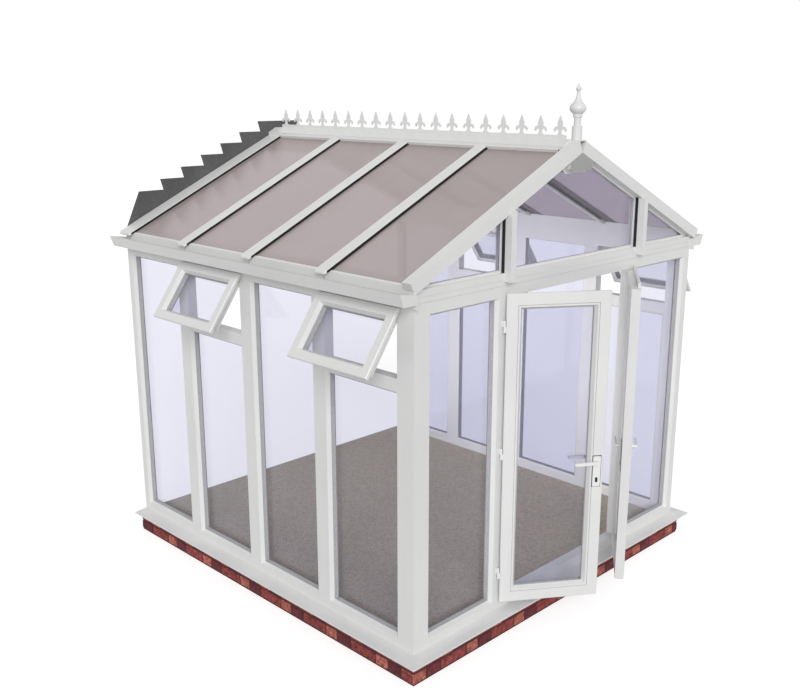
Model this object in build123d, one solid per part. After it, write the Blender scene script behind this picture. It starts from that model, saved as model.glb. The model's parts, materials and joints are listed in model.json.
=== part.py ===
from build123d import *
import os
from math import cos, radians, sin, tan

# Gable-fronted conservatory. Millimetres, +Z up, front towards -Y, house wall at the back.
# The origin is on the ground under the middle of the frames' footprint.

# Overall frame
frame_width = 2870.0
frame_run = 2985.0
frame_height = 2100.0
frame_depth = 70.0

# Brick plinth, cill and floor
plinth_height = 150.0
plinth_projection = 45.0
plinth_thickness = 102.5
cill_thickness = 20.0
cill_projection = 100.0
cill_fall = 10.0
drip_inset = 10.0
drip_width = 6.0
drip_depth = 4.0
floor_finish_thickness = 12.0

# Glazing in the frames: bevel and square return outside, glazing bead inside
glass_thickness = 8.0
bevel_width = 13.5
bevel_depth = 26.0
bead_depth = 5.0
glass_bite = 10.0

# Side walls: lights counted from the house wall forwards
light_count = 4
corner_post_width = 70.0
back_jamb_face = 55.0
mullion_face = 113.0
front_jamb_face = 62.0
bottom_rail_face = 57.5
head_rail_face = 68.0
transom_face = 79.0

# Top-hung vent sashes, one over every second light
vent_light_height = 368.0
vent_overlap = 30.0
vent_clearance = 5.0
vent_flange = 22.0
vent_body = 52.0
vent_face = 58.0
sash_chamfer = 4.0
vent_angle = 35.0
vent_hinge_gap = 0.3

# Front frame and French doors
left_jamb_face = 52.0
right_jamb_face = 63.0
door_post_face = 73.0
threshold_height = 66.0
leaf_width = 647.0
meeting_gap = 64.0
door_clearance = 5.0
side_overlap = 26.0
head_overlap = 24.0
threshold_overlap = 10.0
leaf_flange = 17.0
leaf_body = 41.0
leaf_face = 84.0
bead_groove_inset = 70.0
bead_groove_width = 3.0
bead_groove_depth = 8.0
door_angle = 35.0
mullion_clearance = 8.0

# Door hinges
hinge_offset = 10.0
knuckle_radius = 6.5
knuckle_length = 36.0
knuckle_gap = 0.4
hinge_tab = 6.0
hinge_height_shares = (0.1, 0.5, 0.9)

# Door furniture
plate_width = 50.0
plate_height = 200.0
plate_thickness = 6.0
plate_corner = 6.0
plate_centre_height = 909.0
spindle_setback = 44.0
spindle_rise = 64.0
spindle_radius = 5.0
spindle_clearance = 0.3
lever_gap = 1.0
lever_standoff = 34.0
lever_neck_radius = 9.0
lever_length = 145.0
lever_width = 20.0
lever_thickness = 12.0
keyhole_drop = 48.0
keyhole_radius = 6.0
keyhole_slot = 22.0
keyhole_slot_width = 7.0

# Gable: the two mullions stand at different distances from the centre line
gable_rail_height = 76.0
rail_groove_width = 4.0
rail_groove_depth = 3.0
rail_groove_shares = (0.0, 0.45)
left_mullion_place = 664.0
right_mullion_place = 733.0
gable_mullion_width = 46.0
gable_mullion_proud = 48.0
gable_mullion_lap = 51.0
gable_bead_width = 16.0
gable_bead_setback = 20.0
gable_glass_setback = 28.0
gable_glass_bite = 8.0
gable_gasket = 5.0
gable_rafter_proud = 29.0
gable_rafter_thickness = 70.0
gable_rafter_rise = 34.0
gable_rafter_overhang = 25.0

# Roof
roof_pitch = 25.0
glazing_overhang = 29.0
eaves_rise = 103.0
roof_glass = 24.0
rafter_drop = 47.0
rafter_width = 36.0
bar_web = 12.0
bar_cap_width = 98.0
bar_cap_rise = 15.0
bar_cap_chamfer = 3.0
bar_end_radius = 18.0
bar_overhang = 34.0
bar_count = 4
first_bar_setback = 706.0
wall_bar_setback = 104.0
edge_trim_width = 14.0
edge_trim_drop = 52.0
ridge_joint = 4.0
gasket_width = 6.0
gasket_height = 12.0

# Gutters
gutter_front = 30.0
gutter_step_drop = 22.0
gutter_step_width = 12.0
gutter_floor_rise = 5.0
gutter_floor_width = 107.0
gutter_lip_width = 134.5
gutter_lip_rise = 79.5
gutter_back_rise = 60.0
gutter_wall = 4.0
gutter_headroom = 5.0

# Ridge, cresting and finial
ridge_beam_width = 223.0
ridge_beam_height = 110.0
ridge_beam_chamfer = 14.0
ridge_beam_proud = 25.0
ridge_cap_half = 100.0
ridge_cap_lip = 22.0
ridge_cap_thickness = 8.0
cresting_count = 19
cresting_front_setback = 147.0
cresting_wall_setback = 111.0
cresting_strip = 24.0
cresting_height = 141.0
cresting_spread = 98.0
cresting_thickness = 8.0
finial_offset = 20.0
finial_height = 335.0
finial_radius = 51.0

# Stepped flashing against the house wall
flashing_thickness = 4.0
flashing_step_count = 7
flashing_step_lean = 24.0
flashing_top_half = 206.0
flashing_top_cover = 79.0
flashing_low_inset = 125.0
flashing_low_cover = 207.0
flashing_foot_inset = 3.0

# One overrun serves all cuts
overrun = 5.0

# Levels and faces worked out from the driving sizes
half_width = frame_width / 2
front = -frame_run / 2
back = frame_run / 2
cill_top = plinth_height + cill_thickness
frame_top = cill_top + frame_height
pane_head = frame_height - head_rail_face
slope = tan(radians(roof_pitch))
glazing_edge = half_width + glazing_overhang
glass_drop = roof_glass / cos(radians(roof_pitch))
inner_half = half_width - frame_depth


def block(x0, x1, y0, y1, z0, z1):
    """Box between two limits on each axis."""
    return Pos((x0 + x1) / 2, (y0 + y1) / 2, (z0 + z1) / 2) * Box(x1 - x0, y1 - y0, z1 - z0)


def prism_x(points, x0, x1):
    """Outline in y and z carried along x."""
    plane = Plane((x0, 0, 0), x_dir=(0, 1, 0), z_dir=(1, 0, 0))
    return extrude(plane * make_face(Polyline(*points, close=True)), x1 - x0, dir=(1, 0, 0))


def prism_y(points, y0, y1):
    """Outline in x and z carried along y."""
    plane = Plane((0, y0, 0), x_dir=(1, 0, 0), z_dir=(0, -1, 0))
    return extrude(plane * make_face(Polyline(*points, close=True)), y1 - y0, dir=(0, 1, 0))


def prism_z(points, z0, z1):
    """Outline in x and y carried along z."""
    plane = Plane((0, 0, z0))
    return extrude(plane * make_face(Polyline(*points, close=True)), z1 - z0, dir=(0, 0, 1))


def rod_y(x, z, radius, y0, y1):
    """Round rod along y."""
    return Pos(x, (y0 + y1) / 2, z) * Rot(90, 0, 0) * Cylinder(radius, y1 - y0)


def mirrored(shape):
    """The same piece on the other side of the centre line."""
    return mirror(shape, about=Plane.YZ)


def save(name, *shapes):
    """Write the solids of one named piece."""
    solids = [solid for shape in shapes for solid in shape.solids()]
    export_step(solids[0] if len(solids) == 1 else Compound(solids), f"parts/{name}.step")


# Frames with bevelled panes, drawn flat: x along the wall, y from the outer face inwards

def funnel(x0, x1, z0, z1, y0, y1):
    """Rectangular opening that narrows by the bevel from y0 to y1."""
    middle_x = (x0 + x1) / 2
    middle_z = (z0 + z1) / 2
    wide = Plane((middle_x, y0, middle_z), x_dir=(1, 0, 0), z_dir=(0, 1, 0))
    narrow = Plane((middle_x, y1, middle_z), x_dir=(1, 0, 0), z_dir=(0, 1, 0))
    wide_face = wide * Rectangle(x1 - x0, z1 - z0)
    narrow_face = narrow * Rectangle(x1 - x0 - 2 * bevel_width, z1 - z0 - 2 * bevel_width)
    return loft([wide_face, narrow_face])


def pane(x0, x1, z0, z1, y1):
    """Glass that fills the glazing groove of an opening, in front of the bead at its inner face y1."""
    groove = bevel_width - glass_bite
    inner = y1 - bead_depth
    return block(x0 + groove, x1 - groove, inner - glass_thickness, inner, z0 + groove, z1 - groove)


def pane_cut(x0, x1, z0, z1, y0, y1):
    """Opening for a pane: bevel and square return outside, glazing groove, bevelled bead inside."""
    outside = funnel(x0, x1, z0, z1, y0, y0 + bevel_depth)
    square = block(
        x0 + bevel_width,
        x1 - bevel_width,
        y0 + bevel_depth,
        y1 - bead_depth,
        z0 + bevel_width,
        z1 - bevel_width,
    )
    inside = funnel(x0, x1, z0, z1, y1, y1 - bead_depth)
    return [outside, square, pane(x0, x1, z0, z1, y1), inside]


def flange_plate(x0, x1, y0, y1, z0, z1):
    """Plate of a sash or leaf that laps over its frame, with the edges of its outer face chamfered."""
    plate = block(x0, x1, y0, y1, z0, z1)
    outer_face = plate.faces().sort_by(Axis.Y)[0]
    return chamfer(outer_face.edges(), sash_chamfer)


def lip_line(spans, level, lip):
    """Glazed edge of a rail, which mitres into the bevel at each pane."""
    points = []
    for x0, x1 in spans:
        points += [(x0, level), (x0 + bevel_width, level + lip)]
        points += [(x1 - bevel_width, level + lip), (x1, level)]
    return points


def through(points):
    """Outline in the wall's plane, carried right through the frame."""
    return prism_y(points, -overrun, frame_depth + overrun)


# Side wall, lights from the house wall (x = 0) to the corner

wall_length = frame_run - corner_post_width
glazed_length = wall_length - back_jamb_face - front_jamb_face - (light_count - 1) * mullion_face
pane_width = glazed_length / light_count
light_spans = []
for light in range(light_count):
    light_start = back_jamb_face + light * (pane_width + mullion_face)
    light_spans.append((light_start, light_start + pane_width))
fixed_spans = light_spans[0::2]
vent_spans = light_spans[1::2]
vent_sill = pane_head - vent_light_height
transom_height = vent_sill - transom_face


def side_wall():
    """Rails, posts and glass of one side wall."""
    cuts = []
    glass = []
    for x0, x1 in fixed_spans:
        cuts += pane_cut(x0, x1, bottom_rail_face, pane_head, 0, frame_depth)
        glass.append(pane(x0, x1, bottom_rail_face, pane_head, frame_depth))
    for x0, x1 in vent_spans:
        cuts += pane_cut(x0, x1, bottom_rail_face, transom_height, 0, frame_depth)
        cuts.append(block(x0, x1, -overrun, frame_depth + overrun, vent_sill, pane_head))
        glass.append(pane(x0, x1, bottom_rail_face, transom_height, frame_depth))
    frame = block(0, wall_length, 0, frame_depth, 0, frame_height) - cuts
    bottom = through(
        [(0, 0), (0, bottom_rail_face)]
        + lip_line(light_spans, bottom_rail_face, bevel_width)
        + [(wall_length, bottom_rail_face), (wall_length, 0)]
    )
    head = through(
        [(0, frame_height), (0, pane_head)]
        + lip_line(fixed_spans, pane_head, -bevel_width)
        + [(wall_length, pane_head), (wall_length, frame_height)]
    )
    masks = [bottom, head]
    for x0, x1 in vent_spans:
        transom = lip_line([(x0, x1)], transom_height, -bevel_width)
        masks.append(through(transom + [(x1, vent_sill), (x0, vent_sill)]))
    rails = [frame & mask for mask in masks]
    return rails, frame - masks, glass


def vent(x0, x1):
    """Sash ring and glass of one vent, swung open on its top edge."""
    left = x0 - vent_overlap
    right = x1 + vent_overlap
    low = vent_sill - vent_overlap
    high = pane_head + vent_overlap
    inset = vent_overlap + vent_clearance
    flange = flange_plate(left, right, -vent_flange, 0, low, high)
    body = block(left + inset, right - inset, 0, vent_body, low + inset, high - inset)
    sides = (left + vent_face, right - vent_face, low + vent_face, high - vent_face)
    sash = flange + body - pane_cut(*sides, -vent_flange, vent_body)
    swing = Pos(0, -vent_hinge_gap, high) * Rot(-vent_angle, 0, 0) * Pos(0, 0, -high)
    return swing * sash, swing * pane(*sides, vent_body)


# Front frame, x measured from the centre line

door_half = meeting_gap / 2 + leaf_width - side_overlap
light_inner = door_half + door_post_face
front_left = -half_width + corner_post_width
front_spans = [(front_left + left_jamb_face, -light_inner), (light_inner, half_width - right_jamb_face)]


def front_frame():
    """Rails, posts and glass of the front, with the doorway cut through."""
    cuts = [block(-door_half, door_half, -overrun, frame_depth + overrun, threshold_height, pane_head)]
    glass = []
    for x0, x1 in front_spans:
        cuts += pane_cut(x0, x1, bottom_rail_face, pane_head, 0, frame_depth)
        glass.append(pane(x0, x1, bottom_rail_face, pane_head, frame_depth))
    frame = block(front_left, half_width, 0, frame_depth, 0, frame_height) - cuts
    doorway = [
        (-door_half, bottom_rail_face),
        (-door_half, threshold_height),
        (door_half, threshold_height),
        (door_half, bottom_rail_face),
    ]
    bottom = through(
        [(front_left, 0), (front_left, bottom_rail_face)]
        + lip_line(front_spans[:1], bottom_rail_face, bevel_width)
        + doorway
        + lip_line(front_spans[1:], bottom_rail_face, bevel_width)
        + [(half_width, bottom_rail_face), (half_width, 0)]
    )
    head = through(
        [(front_left, frame_height), (front_left, pane_head)]
        + lip_line(front_spans, pane_head, -bevel_width)
        + [(half_width, pane_head), (half_width, frame_height)]
    )
    return [frame & bottom, frame & head], frame - [bottom, head], glass


# Left door leaf, drawn shut, then swung about its hinge line

leaf_free = -meeting_gap / 2
leaf_hinge = leaf_free - leaf_width
leaf_low = threshold_height - threshold_overlap
leaf_high = pane_head + head_overlap
leaf_face_y = -door_clearance - leaf_flange
leaf_inner_y = -door_clearance + leaf_body
hinge_x = leaf_hinge - hinge_offset
hinge_y = -door_clearance - leaf_flange / 2
spindle_x = leaf_free - spindle_setback
spindle_z = plate_centre_height + spindle_rise
leaf_swing = Pos(hinge_x, hinge_y, 0) * Rot(0, 0, -door_angle) * Pos(-hinge_x, -hinge_y, 0)


def leaf_inset(inset, y0, y1):
    """Block over the leaf's outline, drawn in by one inset all round."""
    return block(leaf_hinge + inset, leaf_free - inset, y0, y1, leaf_low + inset, leaf_high - inset)


def door_leaf():
    """Leaf ring with its overlapping flange and a groove round its glazing bead, and its glass."""
    flange = flange_plate(leaf_hinge, leaf_free, leaf_face_y, -door_clearance, leaf_low, leaf_high)
    body = block(
        leaf_hinge + side_overlap + door_clearance,
        leaf_free,
        -door_clearance,
        leaf_inner_y,
        leaf_low + threshold_overlap + door_clearance,
        leaf_high - head_overlap - door_clearance,
    )
    sides = (leaf_hinge + leaf_face, leaf_free - leaf_face, leaf_low + leaf_face, leaf_high - leaf_face)
    groove_floor = leaf_face_y + bead_groove_depth
    groove_inner = bead_groove_inset + bead_groove_width
    groove = leaf_inset(bead_groove_inset, leaf_face_y - overrun, groove_floor)
    groove -= leaf_inset(groove_inner, leaf_face_y - overrun, groove_floor)
    bore_radius = spindle_radius + spindle_clearance
    bore = rod_y(spindle_x, spindle_z, bore_radius, leaf_face_y - overrun, leaf_inner_y + overrun)
    cuts = pane_cut(*sides, leaf_face_y, leaf_inner_y) + [groove, bore]
    return flange + body - cuts, pane(*sides, leaf_inner_y)


def handle_plates():
    """Rounded backplates on both faces of the leaf, with spindle hole and keyhole."""
    plate_plane = Plane((spindle_x, 0, plate_centre_height), x_dir=(1, 0, 0), z_dir=(0, 1, 0))
    outline = plate_plane * RectangleRounded(plate_width, plate_height, plate_corner)
    keyhole_z = plate_centre_height - keyhole_drop
    slot_half = keyhole_slot_width / 2
    bore_radius = spindle_radius + spindle_clearance
    plates = []
    for y0 in (leaf_face_y - plate_thickness, leaf_inner_y):
        y1 = y0 + plate_thickness
        plate = Pos(0, y0, 0) * extrude(outline, plate_thickness, dir=(0, 1, 0))
        spindle_hole = rod_y(spindle_x, spindle_z, bore_radius, y0 - overrun, y1 + overrun)
        key_hole = rod_y(spindle_x, keyhole_z, keyhole_radius, y0 - overrun, y1 + overrun)
        key_slot = block(
            spindle_x - slot_half,
            spindle_x + slot_half,
            y0 - overrun,
            y1 + overrun,
            keyhole_z - keyhole_slot,
            keyhole_z,
        )
        plates.append(plate - [spindle_hole, key_hole, key_slot])
    return plates


def lever_handle():
    """Lever inside and lever outside on one spindle, both pointing to the hinges."""
    outer_plate = leaf_face_y - plate_thickness - lever_gap
    inner_plate = leaf_inner_y + plate_thickness + lever_gap
    spindle = rod_y(spindle_x, spindle_z, spindle_radius, outer_plate, inner_plate)
    lever = spindle
    lever += rod_y(spindle_x, spindle_z, lever_neck_radius, outer_plate - lever_standoff, outer_plate)
    lever += rod_y(spindle_x, spindle_z, lever_neck_radius, inner_plate, inner_plate + lever_standoff)
    grip_middle = spindle_x - lever_length / 2
    grip_plane = Plane((grip_middle, 0, spindle_z), x_dir=(1, 0, 0), z_dir=(0, 1, 0))
    grip = extrude(
        grip_plane * SlotOverall(lever_length + lever_width, lever_width), lever_thickness, dir=(0, 1, 0)
    )
    lever += Pos(0, outer_plate - lever_standoff, 0) * grip
    lever += Pos(0, inner_plate + lever_standoff - lever_thickness, 0) * grip
    return lever


def hinge_levels():
    """Heights of the hinges up the leaf."""
    return [leaf_low + share * (leaf_high - leaf_low) for share in hinge_height_shares]


def leaf_knuckles():
    """Lower knuckle of each hinge, on a tab from the leaf's edge."""
    knuckles = []
    for level in hinge_levels():
        low = level - knuckle_length
        barrel = Pos(hinge_x, hinge_y, (low + level) / 2) * Cylinder(knuckle_radius, knuckle_length)
        tab = block(hinge_x, leaf_hinge, hinge_y - hinge_tab / 2, hinge_y + hinge_tab / 2, low, level)
        knuckles.append(barrel + tab)
    return knuckles


def post_knuckles():
    """Upper knuckle of each hinge, on a bracket from the door post."""
    knuckles = []
    for level in hinge_levels():
        low = level + knuckle_gap
        high = low + knuckle_length
        barrel = Pos(hinge_x, hinge_y, (low + high) / 2) * Cylinder(knuckle_radius, knuckle_length)
        bracket = block(hinge_x - knuckle_radius, hinge_x, hinge_y, 0, low, high)
        knuckles.append(barrel + bracket)
    return knuckles


def floating_mullion():
    """Post on the right leaf's free edge that closes the gap between the leaves."""
    foot = leaf_low + threshold_overlap + door_clearance
    top = leaf_high - head_overlap - door_clearance
    return block(leaf_free + mullion_clearance, -leaf_free, leaf_face_y, leaf_inner_y, foot, top)


# Roof slopes, drawn on the left and mirrored

def roof_top(x):
    """Height of the top of the roof glass at a distance from the centre line."""
    return frame_top + eaves_rise + (glazing_edge - x) * slope


def slope_strip(x_low, x_high, drop, rise, y0, y1):
    """Strip that follows the left roof slope between two offsets from the glass top."""
    points = [
        (-x_low, roof_top(x_low) + drop),
        (-x_high, roof_top(x_high) + drop),
        (-x_high, roof_top(x_high) + rise),
        (-x_low, roof_top(x_low) + rise),
    ]
    return prism_y(points, y0, y1)


bar_pitch = (frame_run - first_bar_setback - wall_bar_setback) / (bar_count - 1)
bar_lines = [front + first_bar_setback + index * bar_pitch for index in range(bar_count)]
bar_edge = glazing_edge + bar_overhang
gable_rafter_edge = glazing_edge + gable_rafter_overhang
ridge_side = ridge_joint / 2
rafter_under = roof_top(0) - rafter_drop
gable_inner = front - gable_rafter_proud + gable_rafter_thickness


def bar_cap(y0, y1):
    """Cap of a bar: rounded in plan at its lower end, with chamfered upper edges."""
    cap = slope_strip(bar_edge, ridge_side, 0, bar_cap_rise, y0, y1)
    end_corners = cap.edges().filter_by(Axis.Z).group_by(Axis.X)[0]
    cap = fillet(end_corners, bar_end_radius)
    top = cap.faces().filter_by(lambda face: face.normal_at().Z > sin(radians(roof_pitch)))
    return chamfer(top.edges(), bar_cap_chamfer)


def roof_bar(y, cap_end):
    """Glazing bar: cap over the glass, web between the panes, rafter below."""
    web_half = bar_web / 2
    rafter_half = rafter_width / 2
    web = slope_strip(glazing_edge, ridge_side, -glass_drop, 0, y - web_half, y + web_half)
    under = -rafter_drop
    rafter = slope_strip(inner_half, ridge_side, under, -glass_drop, y - rafter_half, y + rafter_half)
    return bar_cap(y - bar_cap_width / 2, cap_end) + web + rafter


def wall_bar(y):
    """Last bar, whose cap reaches the flashing and whose web and rafter reach the house wall."""
    web = slope_strip(glazing_edge, ridge_side, -glass_drop, 0, y, back)
    rafter = slope_strip(inner_half, ridge_side, -rafter_drop, -glass_drop, y, back)
    return roof_bar(y, back - flashing_thickness) + web + rafter


pane_starts = [gable_inner] + [y + bar_web / 2 for y in bar_lines[:-1]]
pane_ends = [y - bar_web / 2 for y in bar_lines]
pane_edge = glazing_edge - edge_trim_width


gutter_clear = frame_top + gutter_lip_rise + gutter_headroom


def roof_sheets(x_low, x_high, drop):
    """One strip of a slope in each bay, between the webs of the bars."""
    return [slope_strip(x_low, x_high, -drop, 0, y0, y1) for y0, y1 in zip(pane_starts, pane_ends)]


def edge_trims():
    """Trims at the foot of the panes, which hang into the gutter. The first runs on under the gable rafter."""
    trims = roof_sheets(glazing_edge, pane_edge, edge_trim_drop)
    foot = roof_top(pane_edge) - edge_trim_drop
    inside_gutter = front - gutter_front + gutter_wall
    trims[0] += block(-glazing_edge, -pane_edge, inside_gutter, gable_inner, foot, gutter_clear)
    return trims


def bar_gaskets():
    """Gasket along the front edge of each bar's cap on one slope."""
    strips = []
    foot = bar_edge - bar_end_radius
    for y in bar_lines:
        edge = y - bar_cap_width / 2
        strips.append(slope_strip(foot, ridge_cap_half, 0, gasket_height, edge - gasket_width, edge))
    return strips


def gable_rafter():
    """Left rafter of the gable, cut square at both ends and notched over the gutter."""
    run_x = cos(radians(roof_pitch))
    run_z = sin(radians(roof_pitch))
    depth = (gable_rafter_rise + rafter_drop) * run_x
    length = (gable_rafter_edge - depth * run_z) / run_x
    points = [
        (0, rafter_under),
        (-depth * run_z, rafter_under + depth * run_x),
        (-depth * run_z - length * run_x, rafter_under + depth * run_x - length * run_z),
        (-length * run_x, rafter_under - length * run_z),
    ]
    rafter = prism_y(points, front - gable_rafter_proud, gable_inner)
    gutter_space = block(
        -gable_rafter_edge - overrun,
        -pane_edge,
        front - gable_rafter_proud - overrun,
        gable_inner + overrun,
        cill_top,
        gutter_clear,
    )
    return rafter - gutter_space


def under_rafter(x):
    """Height of the rafters' underside at a distance from the centre line."""
    return rafter_under - x * slope


gable_rail_top = frame_top + gable_rail_height
gable_rail_end = (rafter_under - gable_rail_top) / slope
mullion_half = gable_mullion_width / 2


def gable_rail():
    """Bottom rail of the gable, its ends cut under the rafters, with fine grooves along its face."""
    end = under_rafter(half_width)
    points = [
        (-half_width, frame_top),
        (half_width, frame_top),
        (half_width, end),
        (gable_rail_end, gable_rail_top),
        (-gable_rail_end, gable_rail_top),
        (-half_width, end),
    ]
    grooves = []
    for share in rail_groove_shares:
        level = frame_top + share * gable_rail_height
        low = level - rail_groove_width / 2
        high = level + rail_groove_width / 2
        grooves.append(block(-half_width, half_width, front, front + rail_groove_depth, low, high))
    return prism_y(points, front, front + frame_depth) - grooves


def under_slope(x0, x1, low, y0, y1):
    """Upright strip right of the centre line, from a level up to the rafter's underside."""
    points = [(x0, low), (x1, low), (x1, under_rafter(x1)), (x0, under_rafter(x0))]
    return prism_y(points, y0, y1)


def gable_mullion(place, rafter):
    """Mullion right of the centre line: a cover that laps over the rail and the rafter, and a post behind."""
    x0 = place - mullion_half
    x1 = place + mullion_half
    cover_low = gable_rail_top - gable_mullion_lap
    cover = block(x0, x1, front - gable_mullion_proud, front, cover_low, under_rafter(x0)) - rafter
    return cover + under_slope(x0, x1, gable_rail_top, front, front + frame_depth)


ridge_half = ridge_beam_width / 2
ridge_low = rafter_under - ridge_beam_height
ridge_foot = [
    (ridge_half, ridge_low + ridge_beam_chamfer),
    (ridge_half - ridge_beam_chamfer, ridge_low),
    (ridge_beam_chamfer - ridge_half, ridge_low),
    (-ridge_half, ridge_low + ridge_beam_chamfer),
]


def gable_side_outline(place):
    """Triangular opening right of a mullion, down to the rail's end."""
    x0 = place + mullion_half
    return [(x0, gable_rail_top), (gable_rail_end, gable_rail_top), (x0, under_rafter(x0))]


def gable_middle_outline():
    """Opening between the mullions, notched round the ridge beam."""
    x0 = left_mullion_place - mullion_half
    x1 = right_mullion_place - mullion_half
    return [
        (-x0, gable_rail_top),
        (x1, gable_rail_top),
        (x1, under_rafter(x1)),
        (ridge_half, under_rafter(ridge_half)),
        *ridge_foot,
        (-ridge_half, under_rafter(ridge_half)),
        (-x0, under_rafter(x0)),
    ]


def gable_light(points):
    """Glazing bead ring of one gable opening, and the glass in its groove."""
    def sheet(inset, y0, y1):
        plane = Plane((0, y0, 0), x_dir=(1, 0, 0), z_dir=(0, -1, 0))
        outline = make_face(Polyline(*points, close=True))
        if inset:
            outline = offset(outline, -inset, kind=Kind.INTERSECTION)
        return extrude(plane * outline, y1 - y0, dir=(0, 1, 0))

    bead_face = front + gable_bead_setback
    glass_face = front + gable_glass_setback
    glass = sheet(gable_bead_width - gable_glass_bite, glass_face, glass_face + glass_thickness)
    ring = sheet(0, bead_face, gable_inner) - sheet(gable_bead_width, bead_face, gable_inner)
    return ring - glass, glass


def mullion_gaskets(place):
    """Gaskets on both sides of a mullion right of the centre line, in front of the beads."""
    y1 = front + gable_bead_setback
    strips = []
    for x0 in (place - mullion_half - gable_gasket, place + mullion_half):
        strips.append(under_slope(x0, x0 + gable_gasket, gable_rail_top, front, y1))
    return strips


def ridge_section(y0, y1):
    """Length of the ridge beam's section, which fits under the rafters and has its lower edges taken off."""
    peak = [(-ridge_half, under_rafter(ridge_half)), (0, rafter_under), (ridge_half, under_rafter(ridge_half))]
    return prism_y(peak + ridge_foot, y0, y1)


gable_peak_half = (gable_rafter_rise + rafter_drop) * cos(radians(roof_pitch)) * sin(radians(roof_pitch))
gable_peak = rafter_under + (gable_rafter_rise + rafter_drop) * cos(radians(roof_pitch)) ** 2
ridge_top = gable_peak + ridge_cap_thickness


def ridge_cap():
    """Flat-topped cap over the bars, with a plain strip forward over the rafter ends."""
    seat = roof_top(0) + bar_cap_rise
    lip = roof_top(ridge_cap_half) + bar_cap_rise
    points = [
        (0, seat),
        (ridge_cap_half, lip),
        (ridge_cap_half, lip + ridge_cap_lip),
        (gable_peak_half, ridge_top),
        (-gable_peak_half, ridge_top),
        (-ridge_cap_half, lip + ridge_cap_lip),
        (-ridge_cap_half, lip),
    ]
    cap = prism_y(points, gable_inner, back - flashing_thickness)
    strip_front = front - gable_rafter_proud
    return cap + block(-gable_peak_half, gable_peak_half, strip_front, gable_inner, gable_peak, ridge_top)


# Spear outline of the cresting: shares of the half spread and of the height over the strip
spear_shares = (
    (0.0, 1.0),
    (0.4, 0.62),
    (0.36, 0.46),
    (0.72, 0.43),
    (1.0, 0.3),
    (0.84, 0.17),
    (0.62, 0.29),
    (0.24, 0.27),
    (0.2, 0.12),
    (0.46, 0.0),
)


def cresting():
    """Strip along the ridge with a row of fleur-de-lis spears."""
    spear_height = cresting_height - cresting_strip
    half = cresting_spread / 2
    base = ridge_top + cresting_strip
    right = [(across * half, base + up * spear_height) for across, up in spear_shares]
    left = [(-y, z) for y, z in reversed(right[1:])]
    spear = prism_x(right + left, -cresting_thickness / 2, cresting_thickness / 2)
    first = front + cresting_front_setback
    last = back - cresting_wall_setback
    pitch = (last - first) / (cresting_count - 1)
    strip = block(
        -cresting_thickness / 2,
        cresting_thickness / 2,
        first - half,
        last + half,
        ridge_top,
        base,
    )
    return strip + [Pos(0, first + index * pitch, 0) * spear for index in range(cresting_count)]


# Turned outline of the finial: shares of its largest radius and of its height
finial_stem_shares = ((0.62, 0.0), (0.62, 0.24), (0.42, 0.25), (0.42, 0.39), (0.55, 0.4), (0.58, 0.445))
finial_bulb_shares = ((0.52, 0.455), (1.0, 0.56), (0.7, 0.648))
finial_spire_shares = ((0.64, 0.655), (0.32, 0.735), (0.2, 0.857))
finial_tip_shares = ((0.35, 0.9), (0.0, 1.0))


def finial():
    """Turned finial: sleeve, neck, collar, bulb with a crease over it, hollow spire and pointed tip."""
    def at(share):
        return (share[0] * finial_radius, share[1] * finial_height)

    stem = [(0, 0)] + [at(share) for share in finial_stem_shares]
    bulb = [at(share) for share in finial_bulb_shares]
    spire = [at(share) for share in finial_spire_shares]
    tip = [at(share) for share in finial_tip_shares]
    outline = Polyline(*stem, bulb[0]) + Spline(*bulb) + Line(bulb[-1], spire[0])
    outline += Spline(*spire) + Polyline(spire[-1], *tip) + Line(tip[-1], stem[0])
    turned = revolve(Plane.XZ * make_face(outline), Axis.Z)
    return Pos(0, front + finial_offset, ridge_top) * turned


def flashing():
    """Lead up the house wall over the left slope, stepped with the brick courses."""
    top = roof_top(0) + flashing_top_cover
    foot = half_width - flashing_foot_inset
    lowest = half_width - flashing_low_inset
    rise = (top - roof_top(lowest) - flashing_low_cover) / (flashing_step_count - 1)
    run = (lowest - flashing_top_half) / (flashing_step_count - 1)
    points = [(0, roof_top(0)), (0, top), (-flashing_top_half, top)]
    for step in range(1, flashing_step_count):
        level = top - step * rise
        corner = flashing_top_half + step * run
        points += [(run - corner + flashing_step_lean, level), (-corner, level)]
    points.append((-foot, roof_top(foot)))
    return prism_y(points, back - flashing_thickness, back)


def eaves_beam():
    """Left eaves beam between the wall frame and the roof glass."""
    points = [
        (-half_width, frame_top),
        (-inner_half, frame_top),
        (-inner_half, roof_top(inner_half) - glass_drop),
        (-half_width, roof_top(half_width) - glass_drop),
    ]
    return prism_y(points, front + frame_depth, back)


def gutter():
    """Left gutter: stepped back plate and an open trough with stop ends."""
    wall = -half_width
    floor = frame_top + gutter_floor_rise
    lip = frame_top + gutter_lip_rise
    outer = [
        (wall, frame_top + gutter_back_rise),
        (wall, frame_top - gutter_step_drop),
        (wall - gutter_step_width, frame_top - gutter_step_drop),
        (wall - gutter_step_width, floor),
        (wall - gutter_floor_width, floor),
        (wall - gutter_lip_width, lip),
        (wall - gutter_lip_width + gutter_wall, lip),
        (wall - gutter_wall, frame_top + gutter_back_rise),
    ]
    trough = [
        (wall - gutter_wall, floor + gutter_wall),
        (wall - gutter_floor_width + gutter_wall, floor + gutter_wall),
        (wall - gutter_lip_width + gutter_wall, lip),
        (wall - gutter_lip_width + gutter_wall, lip + overrun),
        (wall - gutter_wall, lip + overrun),
    ]
    y0 = front - gutter_front
    return prism_y(outer, y0, back) - prism_y(trough, y0 + gutter_wall, back - gutter_wall)


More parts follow.
